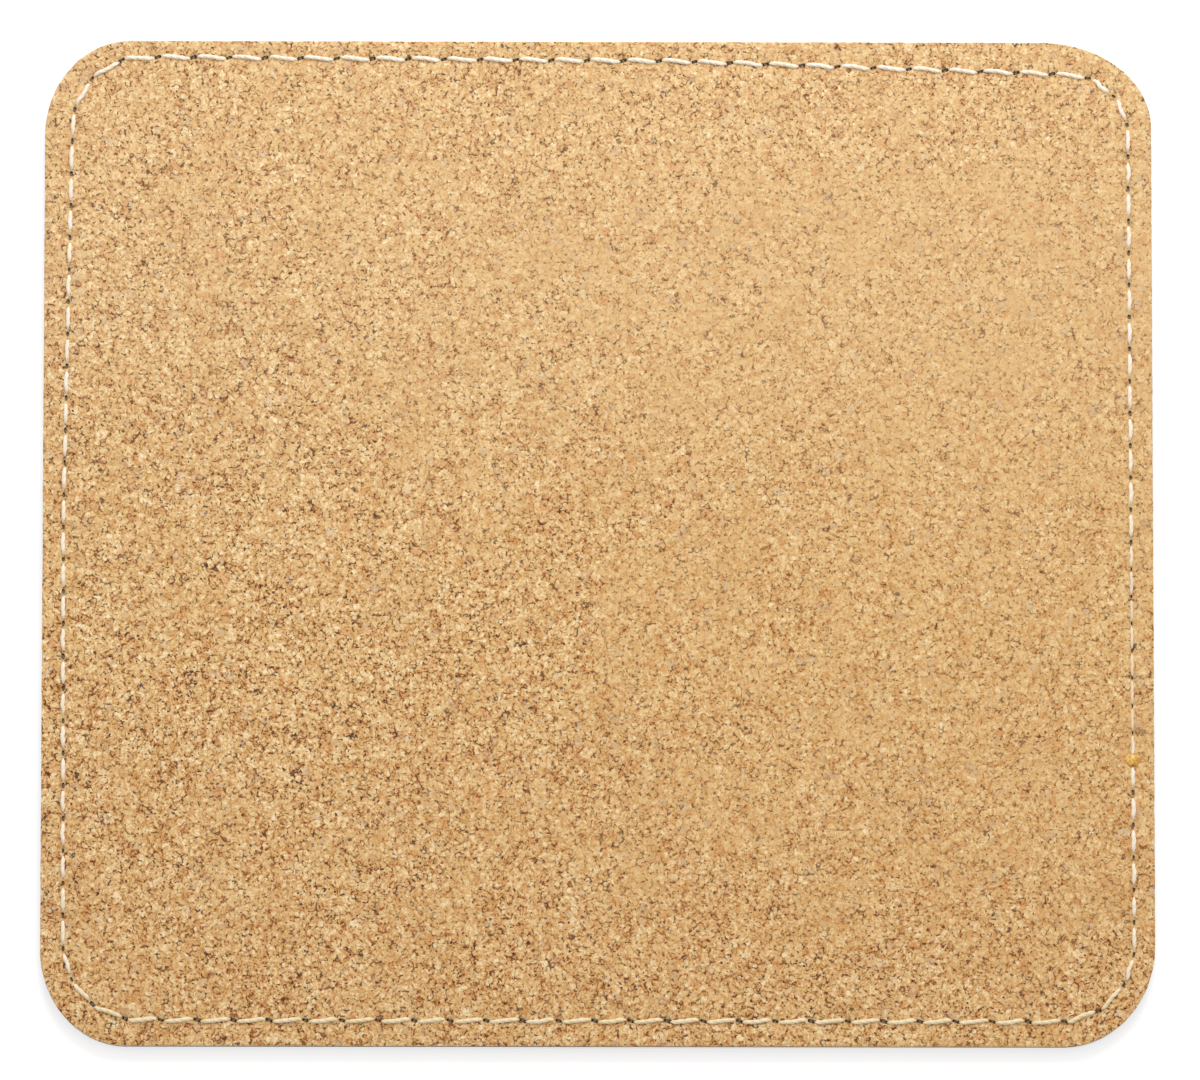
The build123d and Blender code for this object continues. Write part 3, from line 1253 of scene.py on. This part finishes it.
@dataclass
class SewnThread:
    """One of the two threads of the seam, sewn the whole way round as one length."""

    name: str
    node: str
    slot: str
    seam: SeamLine
    finish: ThreadFinish
    radius: float
    run_height: float
    loop_height: float
    across: bool
    leg: float
    rings: int
    sides: int
    twist: float
    pinch: float = 0.6
    lock_sag: float = 0.24 * MM
    lock_slender: float = 0.7

    # Least and most of what differs between needle stitches: the bow to one side and
    # the sag in millimetres, how early the far end dives, and the thickness.
    BOW: ClassVar[tuple[float, float]] = (-0.03, 0.17)
    SAG: ClassVar[tuple[float, float]] = (-0.07, 0.03)
    EARLY: ClassVar[tuple[float, float]] = (-0.12, 0.22)
    PLUMP: ClassVar[tuple[float, float]] = (0.94, 1.05)

    # How the thread rises out of a hole, from the hole outwards: distance from the
    # hole's middle and height beside the run, both in millimetres, and thickness.
    BOBBIN_DIVE: ClassVar[Route] = (
        (0.2, -0.9, 0.8), (0.4, -0.5, 0.9), (0.75, -0.14, 1.0), (1.4, 0.0, 1.0),
    )
    NEEDLE_DIVES: ClassVar[dict[StitchRun, Route]] = {
        StitchRun.ACROSS: (
            (0.22, -1.5, 0.5), (0.5, -1.0, 0.5), (0.85, -0.62, 0.56),
            (1.15, -0.26, 0.7), (1.8, -0.02, 0.95),
        ),
        StitchRun.LOCK: (
            (0.15, -1.5, 0.6), (0.35, -0.9, 0.7), (0.6, -0.4, 0.8),
            (1.0, -0.16, 0.9), (1.7, -0.02, 1.0),
        ),
        StitchRun.ALONG_SIDE: (
            (0.22, -1.5, 0.5), (0.65, -1.0, 0.5), (1.1, -0.62, 0.56),
            (1.45, -0.26, 0.68), (2.0, -0.02, 0.93),
        ),
    }

    def profile(self) -> bpy.types.Object:
        """Draw the thread's section: three plies side by side in a ring.

        Returns:
            A closed flat curve.
        """
        line = bpy.data.curves.new("ply_section", "CURVE")
        line.dimensions = "2D"
        spline = line.splines.new("POLY")
        spline.points.add(self.sides - 1)
        for index, point in enumerate(spline.points):
            angle = 2 * math.pi * index / self.sides
            reach = self.radius * (0.76 + 0.24 * abs(math.cos(1.5 * angle)))
            point.co = (reach * math.cos(angle), reach * math.sin(angle), 0, 1)
        spline.use_cyclic_u = True
        piece = bpy.data.objects.new("ply_section", line)
        bpy.context.collection.objects.link(piece)
        return piece

    def stitch(self, number: int, random: np.random.Generator) -> tuple[Points, Points]:
        """Lay one stitch, from the middle of a hole to the middle of the next.

        Args:
            number: Which hole it starts at.
            random: Source of small differences between stitches.

        Returns:
            The stitch's points and how thick the thread is at each.
        """
        place, slit = self.seam.hole_frame(number)
        following, next_slit = self.seam.hole_frame(number + 1)
        if self.across:
            slit = np.array([slit[1], -slit[0]])
            next_slit = np.array([next_slit[1], -next_slit[0]])
        chord = following - place
        ahead = chord / np.linalg.norm(chord)
        outward = np.array([ahead[1], -ahead[0]])
        run = self.seam.run_at(self.seam.holes[number])
        route = self.BOBBIN_DIVE if self.across else self.NEEDLE_DIVES[run]
        locked = run is StitchRun.LOCK and not self.across
        lively = 0.0 if self.across else 1.0
        bow = random.uniform(*self.BOW) * MM * lively
        sag = random.uniform(*self.SAG) * MM * lively
        early = 1.0 + random.uniform(*self.EARLY) * lively
        if locked:
            sag -= self.lock_sag
        rise = np.sign(self.run_height - self.loop_height)
        keys = [(*place, self.loop_height, self.pinch)]
        for away, height, thickness in route:
            spot = self.on_leg(place, slit, ahead, away * MM)
            keys.append((*spot, self.run_height + rise * (height * MM) + sag, thickness))
        middle = (place + following) / 2 + outward * bow
        keys.append((*middle, self.run_height + rise * (0.02 * MM) + sag, 1.0))
        for away, height, thickness in reversed(route):
            spot = self.on_leg(following, -next_slit, -ahead, away * MM * early)
            keys.append((*spot, self.run_height + rise * (height * MM) + sag, thickness))
        keys.append((*following, self.loop_height, self.pinch))
        slender = self.lock_slender if locked else 1.0
        return self.eased(np.array(keys), slender * random.uniform(*self.PLUMP))

    def on_leg(self, hole: Points, slit: Points, ahead: Points, away: float) -> Points:
        """Find a place on the thread as it leaves a hole, first along the slit.

        Args:
            hole: The hole's middle.
            slit: Which way the slit runs.
            ahead: Which way the stitch runs.
            away: How far the place is from the hole's middle.

        Returns:
            X and Y of the place.
        """
        return hole + slit * min(away, self.leg) + ahead * max(away - self.leg, 0)

    def eased(self, keys: Points, plump: float) -> tuple[Points, Points]:
        """Run a smooth line through the key points of a stitch.

        Args:
            keys: X, Y, Z and thickness of each.
            plump: How thick this stitch is beside the others.

        Returns:
            The points and the thickness at each, without the last.
        """
        padded = np.vstack([2 * keys[0] - keys[1], keys, 2 * keys[-1] - keys[-2]])
        spans = len(keys) - 1
        found = []
        for share in np.arange(self.rings) / self.rings * spans:
            span = int(share)
            t = share - span
            a, b, c, d = padded[span : span + 4]
            found.append(
                0.5
                * (
                    2 * b
                    + (c - a) * t
                    + (2 * a - 5 * b + 4 * c - d) * t * t
                    + (3 * b - a - 3 * c + d) * t**3
                )
            )
        laid = np.array(found)
        return laid[:, :3], laid[:, 3] * plump

    def build(self) -> bpy.types.Object:
        """Sew the thread the whole way round and dress it.

        Returns:
            The finished piece.
        """
        random = np.random.default_rng(5)
        parts = [self.stitch(n, random) for n in range(len(self.seam.holes))]
        places = np.vstack([part[0] for part in parts])[2:-1]
        thickness = np.concatenate([part[1] for part in parts])[2:-1]
        steps = np.linalg.norm(np.diff(places, axis=0), axis=1)
        along = np.concatenate([[0], np.cumsum(steps)])
        line = bpy.data.curves.new(self.name, "CURVE")
        line.dimensions = "3D"
        line.twist_mode = "MINIMUM"
        line.bevel_mode = "OBJECT"
        section = self.profile()
        line.bevel_object = section
        line.use_fill_caps = True
        spline = line.splines.new("POLY")
        spline.points.add(len(places) - 1)
        rows = np.column_stack([places, np.ones(len(places))])
        spline.points.foreach_set("co", rows.ravel())
        spline.points.foreach_set("radius", thickness)
        spline.points.foreach_set("tilt", along / self.twist * 2 * math.pi)
        thread = bpy.data.objects.new(self.name, line)
        bpy.context.collection.objects.link(thread)
        Workbench.take(thread)
        bpy.ops.object.convert(target="MESH")
        thread = bpy.context.active_object
        bpy.data.objects.remove(section)
        self.close_up(thread)
        LOG.info("%s is %.0f mm long", self.name, along[-1] / MM)
        return thread

    def close_up(self, thread: bpy.types.Object) -> None:
        """Weld the thread's mesh, turn its faces out, and dress it.

        Args:
            thread: The converted thread.
        """
        Workbench.take(thread)
        bpy.ops.object.mode_set(mode="EDIT")
        bpy.ops.mesh.select_all(action="SELECT")
        bpy.ops.mesh.remove_doubles(threshold=0.002 * MM)
        bpy.ops.mesh.normals_make_consistent(inside=False)
        Workbench.close()
        Workbench.settle(thread, self.name)
        Workbench.smooth(thread, 50)
        Workbench.dress(thread, self.finish.make())
        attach(thread, "root")
        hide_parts(self.node)


@dataclass
class ScrimCloth:
    """Backing cloth under the cork, a little short of its edge."""

    plan: MatPlan
    setback: float = 0.12 * MM
    corner_waste: float = 300 * MM * MM
    columns: int = 110
    rows: int = 100

    def build(self) -> bpy.types.Object:
        """Model the cloth as a thin closed sheet and dress it.

        Returns:
            The finished piece.
        """
        Workbench.clear()
        bpy.ops.mesh.primitive_grid_add(
            x_subdivisions=self.columns, y_subdivisions=self.rows, size=1,
            location=(0, 0, self.plan.cork_bottom),
        )
        cloth = bpy.context.active_object
        Workbench.settle(cloth, "face_scrim_cloth")
        places = Workbench.points(cloth)
        full = places[:, :2] * (self.plan.width, self.plan.depth)
        share = 1 - 2 * self.setback / self.plan.depth
        places[:, :2] = self.plan.rounded(full) * share
        Workbench.move_points(cloth, places)
        Workbench.edit(cloth, "FACE")
        bpy.ops.object.mode_set(mode="EDIT")
        bpy.ops.mesh.select_all(action="SELECT")
        drop = self.plan.scrim_bottom - self.plan.cork_bottom
        bpy.ops.mesh.extrude_region_move(TRANSFORM_OT_translate={"value": (0, 0, drop)})
        bpy.ops.mesh.select_all(action="SELECT")
        bpy.ops.mesh.normals_make_consistent(inside=False)
        Workbench.close()
        self.fray(cloth)
        Workbench.smooth(cloth, 40)
        Workbench.dress(cloth, ScrimFinish().make())
        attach(cloth, "root")
        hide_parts("face_scrim")
        return cloth

    def fray(self, cloth: bpy.types.Object) -> None:
        """Let the cut yarn ends stand out unevenly along the edge.

        Args:
            cloth: The closed cloth.
        """
        places = Workbench.points(cloth)
        border = self.plan.border_share(places[:, :2])
        random = np.random.default_rng(3)
        push = random.uniform(-0.08, 0.06, len(places)) * MM * border
        Workbench.spread(places, push)
        Workbench.move_points(cloth, places)


@dataclass
class LowerLayers:
    """The layers whose plain shape is right: glue films, core, base and glue drop."""

    def build(self) -> list[str]:
        """Dress each layer.

        Returns:
            The names of the pieces that were dressed.
        """
        film = GlueFilmFinish().make()
        finishes = {
            "upper_glue_film": film,
            "core": FoamFinish().make(),
            "lower_glue_film": film,
            "base_sheet": RubberFinish().make(),
            "glue_drop": AmberFinish().make(),
        }
        for name, material in finishes.items():
            piece = bpy.data.objects[name]
            for slot in piece.material_slots:
                slot.material = material
        return list(finishes)


@dataclass
class Studio:
    """Pale floor, soft light and the camera above the mat."""

    lens: float = 300.0
    camera_place: Place = (-0.0214, -0.2034, 1.9737)
    camera_turn: Place = (5.902, -0.636, 0.033)
    sky_strength: float = 0.68
    lamp_place: Place = (0.05, 0.52, 0.5)
    lamp_size: float = 0.5
    lamp_power: float = 3.4

    def floor(self) -> None:
        """Lay the floor that the mat lies on."""
        Workbench.clear()
        bpy.ops.mesh.primitive_plane_add(size=14, location=(0, 0, -0.00005))
        floor = bpy.context.active_object
        Workbench.settle(floor, "floor")
        Workbench.dress(floor, FloorFinish().make())

    def sky(self) -> None:
        """Set an even white surround."""
        world = bpy.data.worlds.new("studio")
        world.use_nodes = True
        shade = world.node_tree.nodes["Background"]
        shade.inputs["Color"].default_value = (1.0, 1.0, 1.0, 1.0)
        shade.inputs["Strength"].default_value = self.sky_strength
        bpy.context.scene.world = world

    def lamp(self) -> None:
        """Hang one soft area lamp that faces the mat."""
        light = bpy.data.lights.new("back_softbox", "AREA")
        light.size = self.lamp_size
        light.energy = self.lamp_power
        lamp = bpy.data.objects.new("back_softbox", light)
        bpy.context.collection.objects.link(lamp)
        lamp.location = self.lamp_place
        lamp.rotation_euler = (-Vector(self.lamp_place)).to_track_quat("-Z", "Y").to_euler()

    def camera(self) -> None:
        """Set the camera above the mat."""
        data = bpy.data.cameras.new("camera")
        data.lens = self.lens
        data.sensor_width = 36
        data.sensor_fit = "HORIZONTAL"
        data.clip_start, data.clip_end = 0.05, 30
        camera = bpy.data.objects.new("camera", data)
        bpy.context.collection.objects.link(camera)
        camera.location = self.camera_place
        camera.rotation_euler = [math.radians(angle) for angle in self.camera_turn]
        bpy.context.scene.camera = camera

    def build(self) -> None:
        """Set up the whole studio."""
        self.floor()
        self.sky()
        self.lamp()
        self.camera()
        settings = bpy.context.scene.view_settings
        settings.view_transform = "Standard"
        settings.look = "None"


PLAN = MatPlan()
SEAM = SeamLine()


def needle_thread() -> SewnThread:
    """Describe the cream thread that shows on top.

    Returns:
        The thread, not yet sewn.
    """
    # The painted shade and dirt on the thread begin 0.3 mm below the cork's top.
    shade_and_dirt_from = PLAN.cork_top / MM - 0.3
    finish = ThreadFinish(
        name="needle_thread_cotton",
        light=(251, 239, 222),
        shade=(240, 221, 176),
        shade_and_dirt_from=shade_and_dirt_from,
        dark_from=shade_and_dirt_from - 0.3,
        lock_dust=0.4,
    )
    return SewnThread(
        name="needle_thread_twist",
        node="needle_thread",
        slot="needle_thread",
        seam=SEAM,
        finish=finish,
        radius=0.48 * MM,
        run_height=PLAN.cork_top + 0.08 * MM,
        loop_height=PLAN.cork_top - 1.7 * MM,
        across=False,
        leg=0.7 * MM,
        rings=40,
        sides=15,
        twist=4.4 * MM,
    )


def bobbin_thread() -> SewnThread:
    """Describe the thread below, whose loops hold those of the needle thread.

    Returns:
        The thread, not yet sewn.
    """
    finish = ThreadFinish(
        name="bobbin_thread_cotton",
        light=(236, 226, 206),
        shade=(222, 206, 176),
        shade_and_dirt_from=0.9,
        dark_from=1.4,
    )
    return SewnThread(
        name="bobbin_thread_twist",
        node="bobbin_thread",
        slot="bobbin_thread",
        seam=SEAM,
        finish=finish,
        radius=0.25 * MM,
        run_height=0.36 * MM,
        loop_height=1.7 * MM,
        across=True,
        leg=0.4 * MM,
        rings=32,
        sides=12,
        twist=2.8 * MM,
    )


def main() -> None:
    """Build every piece in order and report it."""
    logging.basicConfig(level=logging.INFO, format="%(name)s: %(message)s")
    for maker in (CorkFace(PLAN, SEAM), needle_thread(), bobbin_thread(), ScrimCloth(PLAN)):
        piece = maker.build()
        LOG.info("%s has %d faces", piece.name, len(piece.data.polygons))
    for name in LowerLayers().build():
        LOG.info("%s is dressed", name)
    Studio().build()


if __name__ == "__main__":
    main()
